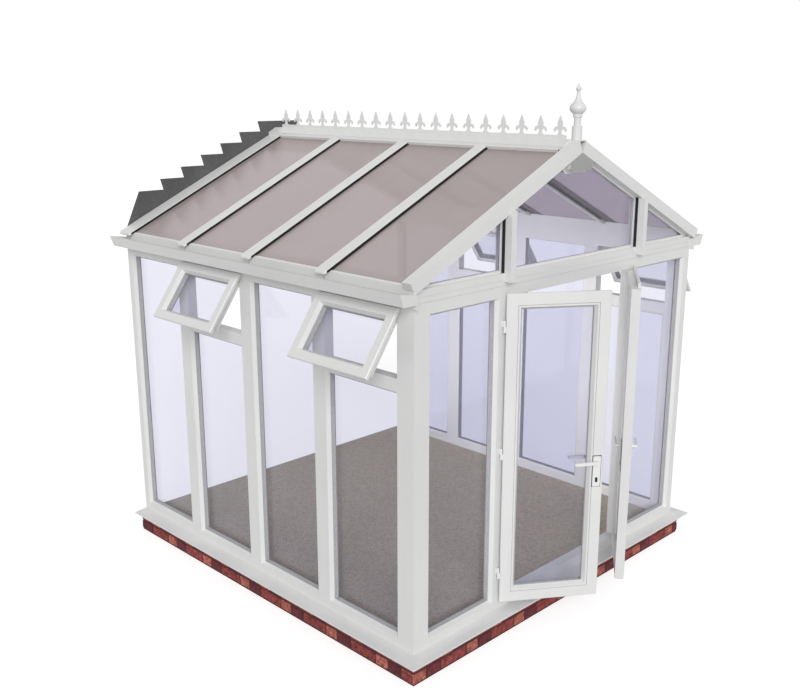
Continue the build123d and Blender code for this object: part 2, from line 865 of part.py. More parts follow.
def cill_section(outer_face, sign):
    """Section of the cill across a wall: frame seat, sloping top, nose and drip groove."""
    nose = outer_face + sign * cill_projection
    groove_out = nose - sign * drip_inset
    groove_in = groove_out - sign * drip_width
    return [
        (outer_face - sign * frame_depth, plinth_height),
        (outer_face - sign * frame_depth, cill_top),
        (outer_face, cill_top),
        (nose, cill_top - cill_fall),
        (nose, plinth_height),
        (groove_out, plinth_height),
        (groove_out, plinth_height + drip_depth),
        (groove_in, plinth_height + drip_depth),
        (groove_in, plinth_height),
    ]


os.makedirs("parts", exist_ok=True)

# Base
plinth_out = half_width + plinth_projection
plinth_in = plinth_out - plinth_thickness
plinth_front = front - plinth_projection
plinth_back_face = plinth_front + plinth_thickness
side_plinth = block(-plinth_out, -plinth_in, plinth_back_face, back, 0, plinth_height)
save("brick_plinth_front", block(-plinth_out, plinth_out, plinth_front, plinth_back_face, 0, plinth_height))
save("brick_plinth_left", side_plinth)
save("brick_plinth_right", mirrored(side_plinth))
save("floor_slab", block(-plinth_in, plinth_in, plinth_back_face, back, 0, plinth_height))
floor_top = plinth_height + floor_finish_thickness
save("floor_covering", block(-inner_half, inner_half, front + frame_depth, back, plinth_height, floor_top))

# Cills, mitred at the front corners
nose_half = half_width + cill_projection
nose_front = front - cill_projection
inner_front = front + frame_depth
front_plan = [
    (-nose_half, nose_front),
    (nose_half, nose_front),
    (inner_half, inner_front),
    (-inner_half, inner_front),
]
left_plan = [(-nose_half, nose_front), (-inner_half, inner_front), (-inner_half, back), (-nose_half, back)]
front_run = prism_x(cill_section(front, -1), -nose_half, nose_half)
left_run = prism_y(cill_section(-half_width, -1), nose_front, back)
left_cill = left_run & prism_z(left_plan, 0, cill_top + overrun)
save("cill_front", front_run & prism_z(front_plan, 0, cill_top + overrun))
save("cill_left", left_cill)
save("cill_right", mirrored(left_cill))

# Side walls
left_place = Pos(-half_width, back, cill_top) * Rot(0, 0, -90)
wall_rails, wall_posts, wall_glass = side_wall()
left_rails = [left_place * rail for rail in wall_rails]
left_posts = left_place * wall_posts
left_panes = [left_place * sheet for sheet in wall_glass]
save("left_wall_rails", *left_rails)
save("left_wall_posts", left_posts)
save("left_wall_glass", *left_panes)
save("right_wall_rails", *[mirrored(rail) for rail in left_rails])
save("right_wall_posts", mirrored(left_posts))
save("right_wall_glass", *[mirrored(sheet) for sheet in left_panes])

# Vents
vents = [vent(x0, x1) for x0, x1 in vent_spans]
left_sashes = [left_place * sash for sash, sheet in vents]
left_sheets = [left_place * sheet for sash, sheet in vents]
save("vent_sashes", *left_sashes, *[mirrored(sash) for sash in left_sashes])
save("vent_glass", *left_sheets, *[mirrored(sheet) for sheet in left_sheets])

# Front
front_place = Pos(0, front, cill_top)
front_rails, front_posts, front_panes = front_frame()
save("left_corner_post", block(-half_width, front_left, front, front + frame_depth, cill_top, frame_top))
save("front_rails", *[front_place * rail for rail in front_rails])
save("front_posts", front_place * front_posts)
save("front_glass", *[front_place * sheet for sheet in front_panes])

# Doors
open_place = front_place * leaf_swing
leaf, leaf_glass = door_leaf()
door_pieces = {
    "door_leaf": [leaf],
    "door_glass": [leaf_glass],
    "door_handle_plates": handle_plates(),
    "door_lever": [lever_handle()],
    "door_hinge_knuckles": leaf_knuckles(),
}
for name, shapes in door_pieces.items():
    placed = [open_place * shape for shape in shapes]
    save(f"left_{name}", *placed)
    save(f"right_{name}", *[mirrored(shape) for shape in placed])
right_swing = Pos(-hinge_x, hinge_y, 0) * Rot(0, 0, door_angle) * Pos(hinge_x, -hinge_y, 0)
save("right_door_floating_mullion", front_place * right_swing * floating_mullion())
fixed_knuckles = [front_place * knuckle for knuckle in post_knuckles()]
save("door_hinge_brackets", *fixed_knuckles, *[mirrored(knuckle) for knuckle in fixed_knuckles])

# Gable
left_gable_rafter = gable_rafter()
right_gable_rafter = mirrored(left_gable_rafter)
left_mullion = mirrored(gable_mullion(left_mullion_place, right_gable_rafter))
left_light = [mirrored(piece) for piece in gable_light(gable_side_outline(left_mullion_place))]
middle_light = gable_light(gable_middle_outline())
right_light = gable_light(gable_side_outline(right_mullion_place))
gable_beads, gable_panes = zip(left_light, middle_light, right_light)
left_strips = [mirrored(strip) for strip in mullion_gaskets(left_mullion_place)]
save("gable_rail", gable_rail())
save("gable_mullions", left_mullion, gable_mullion(right_mullion_place, right_gable_rafter))
save("gable_rafter_left", left_gable_rafter)
save("gable_rafter_right", right_gable_rafter)
save("gable_beads", *gable_beads)
save("gable_glass", *gable_panes)
save("gable_gaskets", *left_strips, *mullion_gaskets(right_mullion_place))

# Roof
bars = [roof_bar(y, y + bar_cap_width / 2) for y in bar_lines[:-1]] + [wall_bar(bar_lines[-1])]
slope_panes = roof_sheets(pane_edge, ridge_side, glass_drop)
left_trims = edge_trims()
gaskets = bar_gaskets()
left_beam = eaves_beam()
left_gutter = gutter()
save("eaves_beams", left_beam, mirrored(left_beam))
save("gutters", left_gutter, mirrored(left_gutter))
save("roof_bars", *bars, *[mirrored(bar) for bar in bars])
save("roof_panes", *slope_panes, *[mirrored(sheet) for sheet in slope_panes])
save("roof_edge_trims", *left_trims, *[mirrored(trim) for trim in left_trims])
save("roof_gaskets", *gaskets, *[mirrored(strip) for strip in gaskets])
beam_end = front - ridge_beam_proud
save("ridge_beam", ridge_section(beam_end, back))
save("ridge_end_cap", ridge_section(front - gable_rafter_proud, beam_end))
save("ridge_cap", ridge_cap())
save("ridge_cresting", cresting())
save("finial", finial())
left_flashing = flashing()
save("stepped_flashing_left", left_flashing)
save("stepped_flashing_right", mirrored(left_flashing))
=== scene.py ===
# %% [markdown]
# # A conservatory, dressed in Blender
#
# The building arrives as a finished CAD model in metres: frames, glass, doors, roof and base, each piece in its own
# node and already in its place. This lesson leaves every one of those pieces where it is. It gives each surface a
# finish worked out by nodes, and it adds the small things that the CAD model leaves out: bricks and mortar, glazing
# seals, seats and keyhole inserts for the door handles, gaskets along the roof panes with black lips beside the bar
# caps that are partly painted shadow, and closers under the ridge cap.

# %% Load the building
import json
from math import radians

import bpy
import numpy as np
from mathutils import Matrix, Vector


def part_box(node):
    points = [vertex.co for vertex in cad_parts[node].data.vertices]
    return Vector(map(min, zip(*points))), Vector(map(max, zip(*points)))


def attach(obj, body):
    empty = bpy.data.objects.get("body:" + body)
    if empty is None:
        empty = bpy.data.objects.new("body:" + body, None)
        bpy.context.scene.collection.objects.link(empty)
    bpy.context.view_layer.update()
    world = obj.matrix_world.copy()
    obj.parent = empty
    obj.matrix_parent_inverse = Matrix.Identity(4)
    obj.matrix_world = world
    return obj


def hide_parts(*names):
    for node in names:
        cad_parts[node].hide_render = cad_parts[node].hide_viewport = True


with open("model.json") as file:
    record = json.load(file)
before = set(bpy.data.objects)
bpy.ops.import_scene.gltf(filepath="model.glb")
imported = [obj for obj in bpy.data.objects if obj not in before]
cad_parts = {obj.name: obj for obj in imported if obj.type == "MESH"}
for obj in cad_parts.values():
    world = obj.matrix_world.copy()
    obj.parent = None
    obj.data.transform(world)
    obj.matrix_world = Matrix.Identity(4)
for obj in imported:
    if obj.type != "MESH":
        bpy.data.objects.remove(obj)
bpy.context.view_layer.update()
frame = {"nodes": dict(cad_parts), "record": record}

nodes = frame["nodes"]
scene = bpy.context.scene

# %% [markdown]
# ## The camera
#
# The picture was taken from above the left front corner, at the height of the roof, looking down a little. A camera
# can be turned by hand until the view looks right. Here its place and its lens were worked out from the corners of
# the frames instead, so the model lands on the picture.

# %% Camera
CAMERA_PLACE = Vector((-5.062, -5.069, 3.379))
CAMERA_AIM = Vector((0.6837, 0.6837, -0.2551))
LENS = 44.05
SENSOR_WIDTH = 36.0
SHIFT_ACROSS = -0.0093

camera_data = bpy.data.cameras.new("camera")
camera_data.lens = LENS
camera_data.sensor_width = SENSOR_WIDTH
camera_data.shift_x = SHIFT_ACROSS
camera = bpy.data.objects.new("camera", camera_data)
camera.location = CAMERA_PLACE
camera.rotation_euler = CAMERA_AIM.to_track_quat("-Z", "Y").to_euler()
scene.collection.objects.link(camera)
bpy.context.scene.camera = camera
print("camera looks", [round(v, 3) for v in CAMERA_AIM])

# %% [markdown]
# ## Light and floor
#
# A plain room light suits white plastic: an even pale world, and one broad soft sun from beside the camera. Several
# lamps could do the same, but one sun gives each face a brightness that depends only on where it looks, so the bevels
# of the frames that look at the camera are the brightest and the side walls fall away a little. To the eye, in a
# mirror and through glass the world is plain white.

# %% World and sun
WHITE = (1.0, 1.0, 1.0, 1.0)
WORLD_LEVEL = 0.46
SHOWN_LEVEL = 1.0
SUN_LEVEL = 0.58
SUN_FROM = Vector((-0.6, -0.68, 0.42))
SUN_SPREAD = radians(35.0)

scene.view_settings.view_transform = "Standard"


def seen_directly(tree):
    """1 for rays from the eye, from a mirror or through glass, and 0 for light that bounces: the largest of three."""
    path = tree.nodes.new("ShaderNodeLightPath")
    largest = path.outputs["Is Camera Ray"]
    for ray in ("Is Glossy Ray", "Is Transmission Ray"):
        either = tree.nodes.new("ShaderNodeMath")
        either.operation = "MAXIMUM"
        tree.links.new(largest, either.inputs[0])
        tree.links.new(path.outputs[ray], either.inputs[1])
        largest = either.outputs[0]
    return largest


def add_lamp(name, data, shines):
    """A lamp at the origin, turned so that it shines along a direction."""
    lamp = bpy.data.objects.new(name, data)
    lamp.rotation_euler = shines.to_track_quat("-Z", "Y").to_euler()
    scene.collection.objects.link(lamp)
    return lamp


world = bpy.data.worlds.new("pale_room")
world.use_nodes = True
scene.world = world
tree = world.node_tree
tree.nodes.clear()
choose = tree.nodes.new("ShaderNodeMixShader")
tree.links.new(seen_directly(tree), choose.inputs["Fac"])
for socket, level in ((1, WORLD_LEVEL), (2, SHOWN_LEVEL)):
    background = tree.nodes.new("ShaderNodeBackground")
    background.inputs["Color"].default_value = WHITE
    background.inputs["Strength"].default_value = level
    tree.links.new(background.outputs[0], choose.inputs[socket])
sky = tree.nodes.new("ShaderNodeOutputWorld")
tree.links.new(choose.outputs[0], sky.inputs["Surface"])

sun_data = bpy.data.lights.new("soft_sun", "SUN")
sun_data.energy = SUN_LEVEL * np.pi
sun_data.angle = SUN_SPREAD
add_lamp("soft_sun", sun_data, -SUN_FROM)
print("world", WORLD_LEVEL, "sun", SUN_LEVEL)

# %% [markdown]
# Tinted glass keeps much of that light out of the room. A brighter sun would wash out the white frames, so a wide soft
# panel stands just inside the left wall and lights the far wall, as a photographer would place one. Only its light
# shows, not the panel.

# %% Panel inside the room
PANEL_PLACE = Vector((-1.3, 0.0, 1.35))
PANEL_SHINES = Vector((1.0, 0.0, 0.0))
PANEL_LENGTH, PANEL_HEIGHT = 2.7, 2.0
PANEL_POWER = 17.0
PANEL_SPREAD = radians(70.0)

panel_data = bpy.data.lights.new("soft_panel", "AREA")
panel_data.shape = "RECTANGLE"
panel_data.size = PANEL_LENGTH
panel_data.size_y = PANEL_HEIGHT
panel_data.energy = PANEL_POWER
panel_data.spread = PANEL_SPREAD
panel = add_lamp("soft_panel", panel_data, PANEL_SHINES)
panel.location = PANEL_PLACE
panel.visible_camera = False
panel.visible_glossy = False
panel.visible_transmission = False
print("panel", PANEL_LENGTH, "by", PANEL_HEIGHT, "m")

# %% [markdown]
# ## Meshes from arrays
#
# Every new piece below could be modelled by hand from cubes. Here it is a grid of points worked out in one go with
# numpy, so that it follows the CAD pieces by itself: one direction of the grid runs along the piece, the other round
# its section. One small function joins neighbouring points into faces, another repeats a grid, and a third puts the
# arrays into a mesh and lets the piece ride on its part of the building.

# %% Grids and pieces
def grid_faces(rows, columns, close_rows=False, close_columns=False):
    """Four-cornered faces between neighbours of a grid. A closed direction also joins its last line to its first."""
    row = np.arange(rows if close_rows else rows - 1)
    column = np.arange(columns if close_columns else columns - 1)
    r, c = np.meshgrid(row, column, indexing="ij")
    r_next, c_next = (r + 1) % rows, (c + 1) % columns
    corners = [r * columns + c, r * columns + c_next, r_next * columns + c_next, r_next * columns + c]
    return np.stack(corners, axis=-1).reshape(-1, 4)


def repeated(points, faces):
    """Many copies of one grid as one mesh. points is copies by points by 3, and the faces of each copy count on from
    the last point of the copy before."""
    copies, count = points.shape[0], points.shape[1]
    shifted = faces[None] + (np.arange(copies) * count)[:, None, None]
    return points.reshape(-1, 3), shifted.reshape(-1, faces.shape[1])


def add_piece(name, points, faces, material, slot, body="root"):
    """Puts arrays of points and faces into a mesh at the origin, with one material, riding on one body."""
    mesh = bpy.data.meshes.new(name)
    mesh.from_pydata(np.asarray(points, float), [], np.asarray(faces, int).tolist())
    mesh.materials.append(material)
    mesh.update()
    piece = bpy.data.objects.new(name, mesh)
    scene.collection.objects.link(piece)
    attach(piece, body)
    print(name, "has", len(mesh.vertices), "points and", len(mesh.polygons), "faces")
    return piece


# %% [markdown]
# The floor is a wide sheet that sits a hair under the building. It is stage, so it never counts as part of the object.
# It is painted pale, and to the eye it glows just enough to come out white. Light alone could make it white, but then
# the frames would be too bright. What the building shades still shows as a soft grey.

# %% Floor sheet
FLOOR_REACH = 40.0
FLOOR_DROP = 0.0005
FLOOR_LINES = 3
FLOOR_PAINT = (0.6, 0.6, 0.6, 1.0)
FLOOR_ROUGHNESS = 0.9
FLOOR_GLOW = 0.66

floor_paint = bpy.data.materials.new("pale_floor")
floor_paint.use_nodes = True
tree = floor_paint.node_tree
paint = tree.nodes["Principled BSDF"]
paint.inputs["Base Color"].default_value = FLOOR_PAINT
paint.inputs["Roughness"].default_value = FLOOR_ROUGHNESS
paint.inputs["Specular IOR Level"].default_value = 0.0
paint.inputs["Emission Color"].default_value = WHITE
glow = tree.nodes.new("ShaderNodeMath")
glow.operation = "MULTIPLY"
glow.inputs[1].default_value = FLOOR_GLOW
tree.links.new(seen_directly(tree), glow.inputs[0])
tree.links.new(glow.outputs[0], paint.inputs["Emission Strength"])

across = np.linspace(-FLOOR_REACH, FLOOR_REACH, FLOOR_LINES)
floor_x, floor_y = np.meshgrid(across, across, indexing="ij")
floor_points = np.stack([floor_x, floor_y, np.full_like(floor_x, -FLOOR_DROP)], axis=-1).reshape(-1, 3)
floor_mesh = bpy.data.meshes.new("floor_sheet")
floor_mesh.from_pydata(floor_points, [], grid_faces(FLOOR_LINES, FLOOR_LINES)[:, ::-1].tolist())
floor_mesh.materials.append(floor_paint)
floor_sheet = bpy.data.objects.new("floor_sheet", floor_mesh)
scene.collection.objects.link(floor_sheet)
print("floor sheet", FLOOR_REACH * 2, "m across")

# %% [markdown]
# ## Finishes
#
# Painted pictures could be wrapped round every piece, but they would need unwrapping and would repeat. All finishes
# here are built from the same few steps instead: read the place on the piece, make a noise from it, turn the noise
# into a spread of colours, and use a finer noise for gloss and bump. A short helper class keeps those steps readable.

# %% Finish helper
def grey(level):
    """A colour with the same red, green and blue."""
    return (level, level, level)


class Finish:
    """A material under way: its nodes, and short ways to add the usual ones."""

    def __init__(self, name):
        self.material = bpy.data.materials.new(name)
        self.material.use_nodes = True
        self.tree = self.material.node_tree
        self.shader = self.tree.nodes["Principled BSDF"]
        self.output = self.tree.nodes["Material Output"]
        self.place = self.tree.nodes.new("ShaderNodeTexCoord").outputs["Object"]

    def add(self, kind, **settings):
        """A new node of a kind, with its own settings."""
        node = self.tree.nodes.new(kind)
        for setting, value in settings.items():
            setattr(node, setting, value)
        return node

    def link(self, start, end):
        """Joins an output to an input."""
        self.tree.links.new(start, end)

    def set(self, **values):
        """Plain values on the shader's own sockets. Underscores stand for spaces."""
        for socket, value in values.items():
            self.shader.inputs[socket.replace("_", " ")].default_value = value

    def stretched(self, across, along, up):
        """The place on the piece, scaled differently in three directions."""
        mapping = self.add("ShaderNodeMapping")
        mapping.inputs["Scale"].default_value = (across, along, up)
        self.link(self.place, mapping.inputs["Vector"])
        return mapping.outputs["Vector"]

    def noise(self, scale, detail, roughness=0.5, place=None):
        """Soft cloudy noise, scale being lumps in a metre."""
        node = self.add("ShaderNodeTexNoise")
        node.inputs["Scale"].default_value = scale
        node.inputs["Detail"].default_value = detail
        node.inputs["Roughness"].default_value = roughness
        self.link(place or self.place, node.inputs["Vector"])
        return node.outputs["Fac"]

    def cells(self, scale):
        """A random grey for each of many small cells, scale being cells in a metre."""
        node = self.add("ShaderNodeTexVoronoi")
        node.inputs["Scale"].default_value = scale
        self.link(self.place, node.inputs["Vector"])
        split = self.add("ShaderNodeSeparateColor")
        self.link(node.outputs["Color"], split.inputs["Color"])
        return split.outputs["Red"]

    def ramp(self, value, colours):
        """Colours along a value from 0 to 1, each named by its position."""
        node = self.add("ShaderNodeValToRGB")
        ramp = node.color_ramp
        while len(ramp.elements) < len(colours):
            ramp.elements.new(0.5)
        for element, (position, colour) in zip(ramp.elements, colours.items()):
            element.position = position
            element.color = (*colour, 1.0)
        self.link(value, node.inputs["Fac"])
        return node.outputs["Color"]

    def spread(self, value, low, high):
        """A value from 0 to 1 stretched between two numbers."""
        node = self.add("ShaderNodeMapRange")
        node.inputs["To Min"].default_value = low
        node.inputs["To Max"].default_value = high
        self.link(value, node.inputs["Value"])
        return node.outputs["Result"]

    def mixed(self, share, first, second):
        """Two colours mixed by a share."""
        node = self.add("ShaderNodeMix", data_type="RGBA")
        self.link(share, node.inputs[0])
        self.link(first, node.inputs[6])
        self.link(second, node.inputs[7])
        return node.outputs[2]

    def times(self, first, second):
        """Two colours multiplied, so that the second darkens or lightens the first."""
        node = self.add("ShaderNodeMix", data_type="RGBA", blend_type="MULTIPLY")
        node.inputs[0].default_value = 1.0
        self.link(first, node.inputs[6])
        self.link(second, node.inputs[7])
        return node.outputs[2]

    def layered(self, share, under, over):
        """Two shaders mixed by a share, put on the surface."""
        node = self.add("ShaderNodeMixShader")
        self.link(share, node.inputs["Fac"])
        self.link(under.outputs[0], node.inputs[1])
        self.link(over.outputs[0], node.inputs[2])
        self.link(node.outputs[0], self.output.inputs["Surface"])

    def bump(self, height, depth, strength=1.0):
        """Bumps of a height value, depth in metres, on the shader's normal."""
        node = self.add("ShaderNodeBump")
        node.inputs["Strength"].default_value = strength
        node.inputs["Distance"].default_value = depth
        self.link(height, node.inputs["Height"])
        self.link(node.outputs["Normal"], self.shader.inputs["Normal"])

    def colour(self, value):
        """A colour that varies over the surface."""
        self.link(value, self.shader.inputs["Base Color"])

    def roughness(self, value):
        """A roughness that varies over the surface."""
        self.link(value, self.shader.inputs["Roughness"])


print("finishes take", len([step for step in vars(Finish) if not step.startswith("_")]), "kinds of steps")

# %% [markdown]
# **White frame plastic.** Extruded frame plastic is not one flat white. It has long faint streaks from the die, a
# cooler and a warmer white in patches, and a gloss that varies a little. The noise is squeezed across the piece, so
# that its lumps run up the posts. The door furniture is enamelled in a whiter white, with the same steps.

# %% White frame
def white_frame_finish(name, whitest, duller):
    """Patches of two whites, times faint streaks that run upwards. The gloss follows the streaks."""
    finish = Finish(name)
    patches = finish.noise(scale=2.2, detail=3.0)
    upright = finish.stretched(across=6.0, along=6.0, up=0.35)
    streaks = finish.noise(scale=9.0, detail=5.0, roughness=0.6, place=upright)
    whites = finish.ramp(patches, {0.3: duller, 0.7: whitest})
    lines = finish.ramp(streaks, {0.35: grey(0.985), 0.65: grey(1.0)})
    finish.colour(finish.times(whites, lines))
    finish.roughness(finish.spread(streaks, low=0.26, high=0.42))
    finish.set(Coat_Weight=0.12, Coat_Roughness=0.18)
    finish.bump(finish.noise(scale=650.0, detail=2.0), depth=0.00006)
    return finish.material


white_frame = white_frame_finish("white_frame_plastic", (0.797, 0.797, 0.788), (0.759, 0.762, 0.754))
door_enamel = white_frame_finish("white_door_enamel", (0.86, 0.86, 0.85), (0.83, 0.832, 0.825))
print("white finishes", white_frame.name, door_enamel.name)

# %% [markdown]
# **Wall glass.** The panes are faintly lavender. Real glazing hardly bends what is seen through a flat pane, so a
# bending glass shader isn't needed: the pane is a see-through tint with a mirror over it, and the mirror grows towards
# the edge of sight as it does on any glass. A see-through shader also lets the light into the room. Faint smears vary
# the tint and the gloss.

# %% Wall glass
MIRROR_POWER = 5.0
MIRROR_FACING, MIRROR_EDGE = 0.03, 0.9


def clear_glass_finish(name, tint, smear_tint):
    """A see-through tint under a mirror, whose share is the fifth power of how far the face is turned away."""
    finish = Finish(name)
    finish.tree.nodes.remove(finish.shader)
    smears = finish.noise(scale=1.6, detail=5.0, roughness=0.6)
    clear = finish.add("ShaderNodeBsdfTransparent")
    finish.link(finish.ramp(smears, {0.3: tint, 0.75: smear_tint}), clear.inputs["Color"])
    mirror = finish.add("ShaderNodeBsdfGlossy")
    mirror.inputs["Color"].default_value = WHITE
    finish.link(finish.spread(smears, low=0.01, high=0.05), mirror.inputs["Roughness"])
    facing = finish.add("ShaderNodeLayerWeight")
    facing.inputs["Blend"].default_value = 0.5
    steep = finish.add("ShaderNodeMath", operation="POWER")
    steep.inputs[1].default_value = MIRROR_POWER
    finish.link(facing.outputs["Facing"], steep.inputs[0])
    finish.layered(finish.spread(steep.outputs[0], MIRROR_FACING, MIRROR_EDGE), clear, mirror)
    return finish.material


wall_glass = clear_glass_finish("lavender_wall_glass", (0.868, 0.868, 0.926), (0.88, 0.88, 0.932))
print("glass finish", wall_glass.name)

# %% [markdown]
# ** Roof glazing.** The roof panes are coated sheets. From above they look pale and pinkish, from below a darker mauve,
# and the other slope shows faintly through them. The darker mauve below is painted shade for the shade under the
# roof. One tinted glass can't look pale from one side and dark from the other, so each face of a pane is a film that
# covers a share of what is behind it and tints the rest. The way the face looks, up or down, chooses between the pale
# film and the painted shade film.

# %% Roof glazing
FILM_TINT = (0.965, 0.9, 0.955, 1.0)
UPPER_COVER, LOWER_COVER = 0.74, 0.5


def roof_glazing_finish(name):
    """A see-through tint under a film: pale on faces that look up, painted shade on faces that look down."""
    finish = Finish(name)
    haze = finish.noise(scale=1.1, detail=4.0)
    downhill = finish.stretched(across=0.5, along=5.0, up=0.5)
    rain = finish.noise(scale=7.0, detail=5.0, roughness=0.6, place=downhill)
    normal = finish.add("ShaderNodeSeparateXYZ")
    finish.link(finish.add("ShaderNodeNewGeometry").outputs["Normal"], normal.inputs[0])
    upward = finish.add("ShaderNodeMath", operation="GREATER_THAN")
    upward.inputs[1].default_value = 0.0
    finish.link(normal.outputs["Z"], upward.inputs[0])
    # Painted shade: faces that look down get a much darker copy of the film, for the shade under the roof.
    underside_painted_shade_film = finish.ramp(haze, {0.3: (0.12, 0.06, 0.11), 0.7: (0.15, 0.08, 0.14)})
    pale_film = finish.ramp(haze, {0.3: (0.46, 0.387, 0.376), 0.7: (0.488, 0.413, 0.403)})
    film = finish.mixed(upward.outputs[0], underside_painted_shade_film, pale_film)
    finish.colour(finish.times(film, finish.ramp(rain, {0.4: grey(0.98), 0.7: grey(1.0)})))
    finish.roughness(finish.spread(rain, low=0.16, high=0.3))
    clear = finish.add("ShaderNodeBsdfTransparent")
    clear.inputs["Color"].default_value = FILM_TINT
    finish.layered(finish.spread(upward.outputs[0], LOWER_COVER, UPPER_COVER), clear, finish.shader)
    return finish.material


roof_glazing = roof_glazing_finish("mauve_roof_glazing")
print("roof finish", roof_glazing.name)

# %% [markdown]
# ** Rubber and lead.** Black seals are dull and slightly dusty. The grey end cap under the ridge is made with the same
# steps; its grey is painted shade, for the shade on the ridge beam's end under the apex. Lead sheet goes dark grey,
# with a paler bloom where water runs and soft dents from the dressing tool, which a slow noise gives as bump.

# %% Rubber and lead
def rubber_finish(name, dark, dusty):
    """Fine dust from a dark to a dusty colour. The dust also dulls the gloss."""
    finish = Finish(name)
    dust = finish.noise(scale=60.0, detail=5.0, roughness=0.65)
    finish.colour(finish.ramp(dust, {0.35: dark, 0.75: dusty}))
    finish.roughness(finish.spread(dust, low=0.5, high=0.75))
    finish.bump(finish.noise(scale=900.0, detail=2.0), depth=0.00005)
    return finish.material


def lead_finish(name):
    """Three greys of bloom drawn out upwards, times fine flecks, over slow dents."""
    finish = Finish(name)
    upright = finish.stretched(across=1.0, along=1.0, up=0.45)
    bloom = finish.noise(scale=3.5, detail=6.0, roughness=0.62, place=upright)
    grain = finish.noise(scale=45.0, detail=5.0, roughness=0.6)
    greys = {0.25: (0.088, 0.088, 0.09), 0.55: (0.118, 0.118, 0.12), 0.8: (0.16, 0.16, 0.162)}
    flecks = finish.ramp(grain, {0.35: grey(0.82), 0.65: grey(1.0)})
    finish.colour(finish.times(finish.ramp(bloom, greys), flecks))
    finish.roughness(finish.spread(bloom, low=0.5, high=0.8))
    finish.set(Metallic=0.15)
    finish.bump(finish.noise(scale=14.0, detail=4.0), depth=0.0025, strength=0.6)
    return finish.material


black_rubber = rubber_finish("black_seal_rubber", (0.002, 0.002, 0.0022), (0.008, 0.008, 0.0084))
# Painted shade: the end cap's grey stands for the shade on the ridge beam's end under the apex.
end_cap_painted_shade = rubber_finish("painted_shade_end_cap", (0.36, 0.36, 0.355), (0.42, 0.42, 0.415))
lead_sheet = lead_finish("weathered_lead")
print("seal, cap and lead finishes", black_rubber.name, end_cap_painted_shade.name, lead_sheet.name)

# %% [markdown]
# **Floor and concrete.** The floor covering is a speckled beige: small cells and finer grains over soft patches. Real
# grains could be scattered as meshes, but at this size only their colour shows. The slab under it is plain cast
# concrete, cloudy and pitted.

# %% Floor and concrete
def speckled_floor_finish(name):
    """Soft patches of beige, times small cells, times fine grains, which also roughen the surface."""
    finish = Finish(name)
    patches = finish.noise(scale=1.2, detail=2.0)
    coarse = finish.cells(scale=75.0)
    fine = finish.noise(scale=150.0, detail=2.0, roughness=0.6)
    base = finish.ramp(patches, {0.3: (0.572, 0.505, 0.395), 0.7: (0.602, 0.53, 0.42)})
    lumps = finish.ramp(coarse, {0.1: (0.8, 0.8, 0.81), 0.5: grey(0.96), 0.9: grey(1.04)})
    grains = finish.ramp(fine, {0.3: grey(0.66), 0.65: grey(1.04)})
    finish.colour(finish.times(finish.times(base, lumps), grains))
    finish.roughness(finish.spread(fine, low=0.75, high=0.95))
    finish.bump(fine, depth=0.0005, strength=0.4)
    return finish.material


def concrete_finish(name):
    """Clouds of two greys, times dark pores, which also pit the surface."""
    finish = Finish(name)
    clouds = finish.noise(scale=4.0, detail=6.0, roughness=0.6)
    pores = finish.noise(scale=120.0, detail=4.0, roughness=0.7)
    greys = finish.ramp(clouds, {0.3: (0.4, 0.39, 0.37), 0.7: (0.54, 0.53, 0.5)})
    holes = finish.ramp(pores, {0.3: grey(0.6), 0.5: grey(1.0)})
    finish.colour(finish.times(greys, holes))
    finish.roughness(finish.spread(clouds, low=0.8, high=0.95))
    finish.bump(pores, depth=0.001, strength=0.5)
    return finish.material


floor_speckle = speckled_floor_finish("speckled_floor")
cast_concrete = concrete_finish("cast_concrete")
print("floor finishes", floor_speckle.name, cast_concrete.name)

# %% [markdown]
# Each CAD node names its slot in the record, so one table from slot to finish dresses the whole building. The plinth's
# blocks get concrete here, and bricks take their place further down.

# %% Dress the CAD nodes
finish_of_slot = {
    "white_frame": white_frame,
    "wall_glass": wall_glass,
    "roof_glazing": roof_glazing,
    "brick": cast_concrete,
    "concrete": cast_concrete,
    "floor_finish": floor_speckle,
    "lead": lead_sheet,
    "gasket": black_rubber,
    "grey_cap": end_cap_painted_shade,
    "door_furniture": door_enamel,
}
for subpart in frame["record"]["subparts"]:
    mesh = nodes[subpart["node"]].data
    mesh.materials.clear()
    mesh.materials.append(finish_of_slot[subpart["material_slot"]])

# %% [markdown]
# ## Bricks
#
# The plinth is two courses of real bricks. Along each wall the same three follow one another: a long red stretcher, a
# short orange brick and one burnt nearly purple, bedded in dark mortar. A brick pattern in the material could draw
# them, but then the joints would be flat. So one brick is a box with its edges taken off: a cut-corner section carried
# along the brick, a little smaller at both ends.

# %% One brick
BRICK_RING = np.array([(-1, -0.9), (-0.9, -1), (0.9, -1), (1, -0.9), (1, 0.9), (0.9, 1), (-0.9, 1), (-1, 0.9)])
BRICK_ALONG = np.array([-1.0, -0.95, 0.95, 1.0])
BRICK_SWELL = np.array([0.9, 1.0, 1.0, 0.9])


def brick_grid():
    """Unit brick from -1 to 1 on each axis. Four cut-corner rings along x: small, full, full and small again."""
    x = np.repeat(BRICK_ALONG[:, None], len(BRICK_RING), axis=1)
    section = BRICK_RING[None] * BRICK_SWELL[:, None, None]
    return np.concatenate([x[..., None], section], axis=-1).reshape(-1, 3)


def closed_tube_faces(rings, around):
    """Sides between rings of points, then each end closed by strips that join opposite points of its ring."""
    sides = grid_faces(rings, around, close_columns=True)
    step = np.arange(around // 2 - 1)
    strips = np.stack([around - 1 - step, step, step + 1, around - 2 - step], axis=-1)
    return np.concatenate([sides, strips[:, ::-1], strips + (rings - 1) * around])


BRICK_FACES = closed_tube_faces(len(BRICK_ALONG), len(BRICK_RING))
SIDE_FACES = (len(BRICK_ALONG) - 1) * len(BRICK_RING)
END_FACES = (len(BRICK_FACES) - SIDE_FACES) // 2
print("one brick has", len(brick_grid()), "points and", len(BRICK_FACES), "faces")

# %% [markdown]
# The courses follow a fixed order of lengths. A course is worked out as a row of brick ends from one starting place,
# and the ends of the wall cut off what runs past them, as a bricklayer would. Bits too short to lay are left out.

